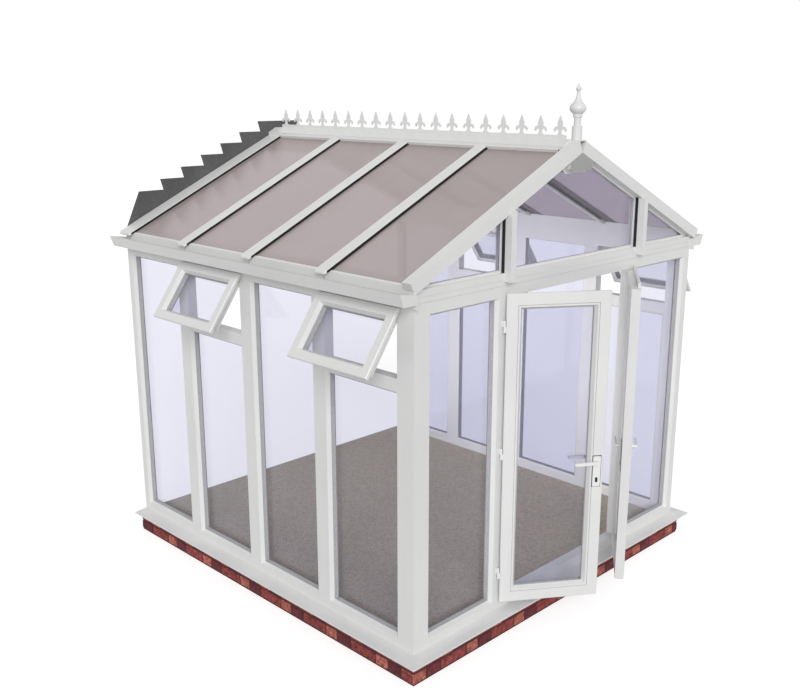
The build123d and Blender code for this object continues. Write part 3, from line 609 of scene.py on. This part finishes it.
# %% One course
COURSE_HEIGHT = 0.075
BED_JOINT = 0.012
END_JOINT = 0.010
BRICK_LENGTHS = np.array([0.229, 0.109, 0.126])
SHORTEST_BAT = 0.03
TURNS = np.arange(-8, 9)


def lay_course(start, end, phase):
    """Ends and kind of each brick of a course: the three lengths repeat from a phase, cut off at both wall ends.
    Between bricks half a joint goes off each end, and the first and the last brick run out to the wall's ends."""
    first = phase + BRICK_LENGTHS.sum() * TURNS[:, None] + np.cumsum(BRICK_LENGTHS) - BRICK_LENGTHS
    low = np.clip(first.ravel(), start, end)
    high = np.clip((first + BRICK_LENGTHS).ravel(), start, end)
    kind = np.tile(np.arange(len(BRICK_LENGTHS)), len(TURNS))
    keep = high - low > SHORTEST_BAT
    low = np.where(low - start < SHORTEST_BAT, start, low + END_JOINT / 2)
    high = np.where(end - high < SHORTEST_BAT, end, high - END_JOINT / 2)
    return low[keep], high[keep], kind[keep]


print("three bricks take", BRICK_LENGTHS.sum(), "m of a course")

# %% [markdown]
# Fired clay is never one colour. A finish for each kind of brick would do, but one finish is enough when each brick
# carries its own tint on its faces, a little lighter or darker than the next of its kind. The finish adds blotches,
# grit and a rough face. Mortar is sandy, dark and reddish.

# %% Brick and mortar finishes
def brick_finish(name):
    """The brick's own tint, times burnt blotches, times fine grit. The blotches also dent the face."""
    finish = Finish(name)
    tint = finish.add("ShaderNodeAttribute", attribute_name="tint").outputs["Color"]
    blotch = finish.noise(scale=38.0, detail=5.0, roughness=0.65)
    grit = finish.noise(scale=210.0, detail=3.0, roughness=0.7)
    burns = finish.ramp(blotch, {0.33: (0.36, 0.33, 0.34), 0.5: grey(1.0), 0.7: (1.75, 1.75, 1.7)})
    specks = finish.ramp(grit, {0.3: grey(0.7), 0.6: grey(1.15)})
    finish.colour(finish.times(finish.times(tint, burns), specks))
    finish.roughness(finish.spread(grit, low=0.75, high=0.95))
    finish.bump(blotch, depth=0.005, strength=0.8)
    return finish.material


def mortar_finish(name):
    """Sand grains from a dark to a paler red, which also roughen the joint."""
    finish = Finish(name)
    sand = finish.noise(scale=260.0, detail=4.0, roughness=0.7)
    finish.colour(finish.ramp(sand, {0.3: (0.05, 0.015, 0.014), 0.7: (0.095, 0.03, 0.027)}))
    finish.roughness(finish.spread(sand, low=0.85, high=0.97))
    finish.bump(sand, depth=0.0012, strength=0.7)
    return finish.material


fired_brick = brick_finish("fired_brick")
dark_mortar = mortar_finish("dark_mortar")
print("brick finishes", fired_brick.name, dark_mortar.name)

# %% [markdown]
# All the bricks of a wall are copies of the one grid, stretched to their own length. They are laid along one axis of
# the wall's CAD block, and way says whether the order runs up or down that axis. Every brick fills the block's
# thickness, and the mortar is a core that stands back a few millimetres behind the faces that show.

# %% A wall of bricks
COURSES = 2
HALF_BOND = 0.232
BRICK_TINTS = np.array([(0.25, 0.046, 0.043), (0.435, 0.131, 0.095), (0.116, 0.017, 0.026)])
TINT_SPREAD = 0.12
BOX_CORNERS = np.array([(0, 0, 0), (1, 0, 0), (1, 1, 0), (0, 1, 0), (0, 0, 1), (1, 0, 1), (1, 1, 1), (0, 1, 1)])
BOX_FACES = np.concatenate([grid_faces(2, 4, close_columns=True), [(3, 2, 1, 0), (4, 5, 6, 7)]])
BRICK_SEED = 7
chance = np.random.default_rng(BRICK_SEED)


def brick_wall(node, axis, way, phase, recess_low, recess_high, corner_joint=0.0):
    """Bricks and mortar core for one plinth block: unit bricks scaled and moved to their places in both courses."""
    low_corner, high_corner = (np.array(corner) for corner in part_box(node))
    start, end = np.sort(way * np.array([low_corner[axis], high_corner[axis]]))
    courses = [lay_course(start, end - corner_joint, phase + course * HALF_BOND) for course in range(COURSES)]
    low, high, kind = (np.concatenate(part) for part in zip(*courses))
    course = np.repeat(np.arange(COURSES), [len(part[0]) for part in courses])
    centre = np.tile((low_corner + high_corner) / 2, (len(low), 1))
    half = np.tile((high_corner - low_corner) / 2, (len(low), 1))
    centre[:, axis] = way * (low + high) / 2
    half[:, axis] = (high - low) / 2
    centre[:, 2] = low_corner[2] + (course + 0.5) * COURSE_HEIGHT + BED_JOINT / 2
    half[:, 2] = (COURSE_HEIGHT - BED_JOINT) / 2
    unit, faces = brick_grid(), BRICK_FACES
    if axis == 1:
        unit, faces = unit[:, [1, 0, 2]], faces[:, ::-1]
    laid = repeated(centre[:, None] + half[:, None] * unit, faces)
    bricks = add_piece(node + "_bricks", *laid, fired_brick, slot="brick")
    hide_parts(node)
    core_low, core_high = low_corner + recess_low, high_corner - recess_high
    core = core_low + BOX_CORNERS * (core_high - core_low)
    add_piece(node + "_mortar", core, BOX_FACES, dark_mortar, slot="brick")
    tints = BRICK_TINTS[kind] * chance.uniform(1 - TINT_SPREAD, 1 + TINT_SPREAD, (len(kind), 1))
    return bricks, np.repeat(tints[:, None], len(faces), axis=1)


def tint_faces(piece, tints):
    """One colour a face: the tints of all bricks in face order, with an alpha of 1."""
    colours = np.ones((len(piece.data.polygons), 4))
    colours[:, :3] = tints.reshape(-1, 3)
    piece.data.attributes.new("tint", "FLOAT_COLOR", "FACE").data.foreach_set("color", colours.ravel())


print("a wall has", COURSES, "courses of", COURSE_HEIGHT, "m")

# %% [markdown]
# The front wall runs through to both corners and the side walls butt against it. The mortar of each wall stands back
# wherever its face shows: at the front and both ends of the front wall, and on the outside and at the house end of the
# side walls. The end faces of the corner brick get the red stretcher's tint in place of their own.

# %% Lay the bricks
FRONT_PHASE = -0.315
SIDE_PHASE = 0.053
MORTAR_RECESS = 0.005

x_step = np.array([MORTAR_RECESS, 0.0, 0.0])
y_step = np.array([0.0, MORTAR_RECESS, 0.0])
flush = np.zeros(3)
front_bricks, front_tints = brick_wall("brick_plinth_front", 0, 1, FRONT_PHASE, x_step + y_step, x_step)
front_tints[0, SIDE_FACES:SIDE_FACES + END_FACES] = BRICK_TINTS[0]
tint_faces(front_bricks, front_tints)
tint_faces(*brick_wall("brick_plinth_left", 1, -1, SIDE_PHASE, x_step, y_step, END_JOINT))
tint_faces(*brick_wall("brick_plinth_right", 1, -1, SIDE_PHASE, flush, x_step + y_step, END_JOINT))

# %% [markdown]
# ## Glazing seals
#
# Every pane sits at the back of a square return, and a grey seal lines that return from the glass to the bevel. Each
# seal could be placed by hand, but the pane's own corners give its place: the three directions in which the corners
# spread most are its length, its width and its thickness, also where a leaf or a vent stands open.

# %% Where the panes are
ROOM_MIDDLE = np.array([0.0, 0.0, 1.2])
JOIN_PASSES = 8
SAME_PLACE_DIGITS = 4


def node_corners(node):
    """Corner points of a node's mesh without doubles, and its edges as pairs of them."""
    mesh = nodes[node].data
    points = np.empty(len(mesh.vertices) * 3)
    mesh.vertices.foreach_get("co", points)
    ends = np.empty(len(mesh.edges) * 2, dtype=np.int32)
    mesh.edges.foreach_get("vertices", ends)
    corners, same = np.unique(np.round(points.reshape(-1, 3), SAME_PLACE_DIGITS), axis=0, return_inverse=True)
    return corners, same.ravel()[ends].reshape(-1, 2)


def solid_frames(node):
    """Centre, axes and half sizes of each flat solid of a node: length, width, and the normal away from the room.
    Corners joined by edges take the lowest label among them, so that each solid ends up with one label."""
    corners, edges = node_corners(node)
    label = np.arange(len(corners))
    for _ in range(JOIN_PASSES):
        lower = label[edges].min(axis=1)
        np.minimum.at(label, edges[:, 0], lower)
        np.minimum.at(label, edges[:, 1], lower)
        label = label[label]
    frames = []
    for solid in np.unique(label):
        points = corners[label == solid]
        axes = np.linalg.svd(points - points.mean(axis=0))[2]
        normal = axes[2] * np.sign(axes[2] @ (points.mean(axis=0) - ROOM_MIDDLE))
        axes = np.array([axes[0], np.cross(normal, axes[0]), normal])
        spans = points @ axes.T
        low, high = spans.min(axis=0), spans.max(axis=0)
        frames.append(((low + high) / 2 @ axes, axes, (high - low) / 2))
    return frames


print("the left wall has", len(solid_frames("left_wall_glass")), "fixed panes")

# %% [markdown]
# The seal is a thin flat profile carried round the pane, with its four corners mitred: at each corner the profile's
# points step inwards along both edges by the same amount.

# %% Seal rings
SEAL_THICKNESS = 0.003
GLASS_BITE = 0.010
WALL_RETURN, VENT_RETURN, LEAF_RETURN = 0.031, 0.034, 0.018
RING_CORNERS = np.array([(-1, -1), (1, -1), (1, 1), (-1, 1)])
PROFILE_INWARDS = np.array([0, 1, 1, 0])
PROFILE_OUTWARDS = np.array([0, 0, 1, 1])
grey_seal = rubber_finish("grey_glazing_seal", (0.42, 0.42, 0.425), (0.52, 0.52, 0.525))


def seal_rings(node, depth):
    """A mitred ring for each pane of a node. The profile steps in from the edge and out along the normal."""
    inset = GLASS_BITE + SEAL_THICKNESS * PROFILE_INWARDS
    rise = depth * PROFILE_OUTWARDS
    rings = []
    for centre, axes, half in solid_frames(node):
        length = RING_CORNERS[:, :1] * (half[0] - inset)
        width = RING_CORNERS[:, 1:] * (half[1] - inset)
        out = np.broadcast_to(half[2] + rise, length.shape)
        rings.append(centre + (np.stack([length, width, out], axis=-1) @ axes).reshape(-1, 3))
    return repeated(np.array(rings), grid_faces(4, 4, close_rows=True, close_columns=True))


fixed_returns = {"left_wall": WALL_RETURN, "right_wall": WALL_RETURN, "front": WALL_RETURN, "vent": VENT_RETURN}
for wall, depth in fixed_returns.items():
    add_piece(wall + "_seals", *seal_rings(wall + "_glass", depth), grey_seal, slot="gasket")
for side in ("left", "right"):
    ring = seal_rings(side + "_door_glass", LEAF_RETURN)
    add_piece(side + "_door_seal", *ring, grey_seal, body=side + "_door", slot="gasket")

# %% [markdown]
# ## Handle seats
#
# Each handle plate is bedded on a thin black rubber sheet that shows as a dark outline round it. The outline could be
# painted on the leaf, but then it would have to be placed by hand. A real flat box finds its place from the plate: a
# little larger, much thinner, and with its back on the leaf.

# %% Handle seats
SEAT_MARGIN = 0.004
SEAT_THICKNESS = 0.0016
BOX_SIDES = 2 * BOX_CORNERS - 1


def plate_seats(node):
    """A thin box under each plate of a node: the plate's own frame, widened, and cut to the layer next to the leaf."""
    plates = solid_frames(node)
    leaf_middle = np.mean([centre for centre, _, _ in plates], axis=0)
    boxes = []
    for centre, axes, half in plates:
        towards_leaf = np.sign((leaf_middle - centre) @ axes[2])
        size = half + SEAT_MARGIN
        size[2] = SEAT_THICKNESS / 2
        middle = centre + axes[2] * towards_leaf * (half[2] - size[2])
        boxes.append(middle + (BOX_SIDES * size) @ axes)
    return repeated(np.array(boxes), BOX_FACES)


for side in ("left", "right"):
    seats = plate_seats(side + "_door_handle_plates")
    add_piece(side + "_handle_seats", *seats, black_rubber, body=side + "_door", slot="gasket")

# %% [markdown]
# A black insert lines each keyhole and stands a hair proud of the plate. It is a short round-ended plug: a ring of
# points that is a half circle above, a half circle below and straight between, carried through the plate.

# %% Keyhole inserts
INSERT_DROP = 0.056
INSERT_RADIUS = 0.0085
INSERT_STRAIGHT = 0.009
INSERT_PROUD = 0.0006
INSERT_POINTS = 24
INSERT_ENDS = np.array([-1, 1])[:, None]


def keyhole_inserts(node):
    """A plug for each plate of a node: a circle stretched by a straight part, on two rings with closed ends."""
    turn = np.linspace(0, 2 * np.pi, INSERT_POINTS, endpoint=False) + np.pi / INSERT_POINTS
    up = INSERT_RADIUS * np.sin(turn) + INSERT_STRAIGHT * np.sign(np.sin(turn))
    across = INSERT_RADIUS * np.cos(turn)
    plugs = []
    for centre, axes, half in solid_frames(node):
        upright = axes[0] * np.sign(axes[0][2])
        plug_axes = np.array([upright, np.cross(upright, axes[2]), axes[2]])
        reach = INSERT_ENDS * (half[2] + INSERT_PROUD)
        plug = np.stack(np.broadcast_arrays(up, across, reach), axis=-1) @ plug_axes
        plugs.append(centre - upright * INSERT_DROP + plug.reshape(-1, 3))
    return repeated(np.array(plugs), closed_tube_faces(len(INSERT_ENDS), INSERT_POINTS))


for side in ("left", "right"):
    plugs = keyhole_inserts(side + "_door_handle_plates")
    add_piece(side + "_keyhole_inserts", *plugs, black_rubber, body=side + "_door", slot="gasket")

# %% [markdown]
# ## Gaskets and painted shadow along the roof panes
#
# The panes also lie on a black gasket along the rafter of each glazing bar, and from below it shows as a dark line
# beside the rafter. On top, a thin black lip lies on the glass beside the cap's edge: partly the cap's gasket and
# partly painted shadow, for the shadow gap under the cap's overhang. The strips could follow the bars, but the panes
# are simpler to read: each pane's own frame places them along its two long edges, so far in from the edge, and above
# or below the glass.

# %% Gasket strips and painted shadow lips along the roof panes
FRONT_EDGE, BACK_EDGE = -1, 1
ON_TOP, UNDERNEATH = 1, -1
STRIP_WIDTH = 0.009


def pane_edge_strips(edges, level, inset, height, foot_cut):
    """A thin box along each chosen edge of each roof pane, shortened by foot_cut at the pane's lower end."""
    strips = []
    for centre, axes, half in solid_frames("roof_panes"):
        uphill = axes[0] * np.sign(axes[0][2])
        backwards = axes[1] * np.sign(axes[1][1])
        middle = centre + uphill * foot_cut / 2 + level * axes[2] * (half[2] + height / 2)
        size = np.array([half[0] - foot_cut / 2, STRIP_WIDTH / 2, height / 2])
        box = (BOX_SIDES * size) @ axes
        strips += [middle + edge * backwards * (half[1] - inset - STRIP_WIDTH / 2) + box for edge in edges]
    return repeated(np.array(strips), BOX_FACES)


under_strips = pane_edge_strips((FRONT_EDGE, BACK_EDGE), UNDERNEATH, inset=0.0125, height=0.009, foot_cut=0.17)
add_piece("roof_under_gaskets", *under_strips, black_rubber, slot="gasket")
# Partly gasket, partly painted shadow: a black lip on the glass beside each cap's edge, for the gap under its
# overhang.
lips = pane_edge_strips((BACK_EDGE,), ON_TOP, inset=0.048, height=0.004, foot_cut=0.01)
add_piece("roof_gasket_and_shadow_lips", *lips, black_rubber, slot="gasket")

# %% [markdown]
# ## Closers under the ridge cap
#
# The ridge cap stands a little above the glass, and a white closer fills that gap between the bars. Each closer is a
# thin box across the upper end of a pane, from the glass up to the cap's lowest edge. The cap's own box and the pane's
# frame give its place, so nothing has to be measured by hand.

# %% Ridge closers
CLOSER_WIDTH = 0.012
CLOSER_SETBACK = 0.002
CAP_COVER = 0.045


def ridge_closers():
    """A box across each roof pane where the ridge cap's edge crosses it, as high as the gap between glass and cap."""
    cap_low, cap_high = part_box("ridge_cap")
    closers = []
    for centre, axes, half in solid_frames("roof_panes"):
        uphill = axes[0] * np.sign(axes[0][2])
        along = (abs(centre[0]) - cap_high[0] + CLOSER_SETBACK) / abs(uphill[0]) + CLOSER_WIDTH / 2
        glass_top = centre + uphill * along + axes[2] * half[2]
        gap = (cap_low[2] - glass_top[2]) * axes[2][2] + CLOSER_WIDTH / 2
        size = np.array([CLOSER_WIDTH / 2, half[1] - CAP_COVER, gap / 2])
        closers.append(glass_top + axes[2] * gap / 2 + (BOX_SIDES * size) @ axes)
    return repeated(np.array(closers), BOX_FACES)


add_piece("ridge_closers", *ridge_closers(), white_frame, slot="white_frame")

# %% [markdown]
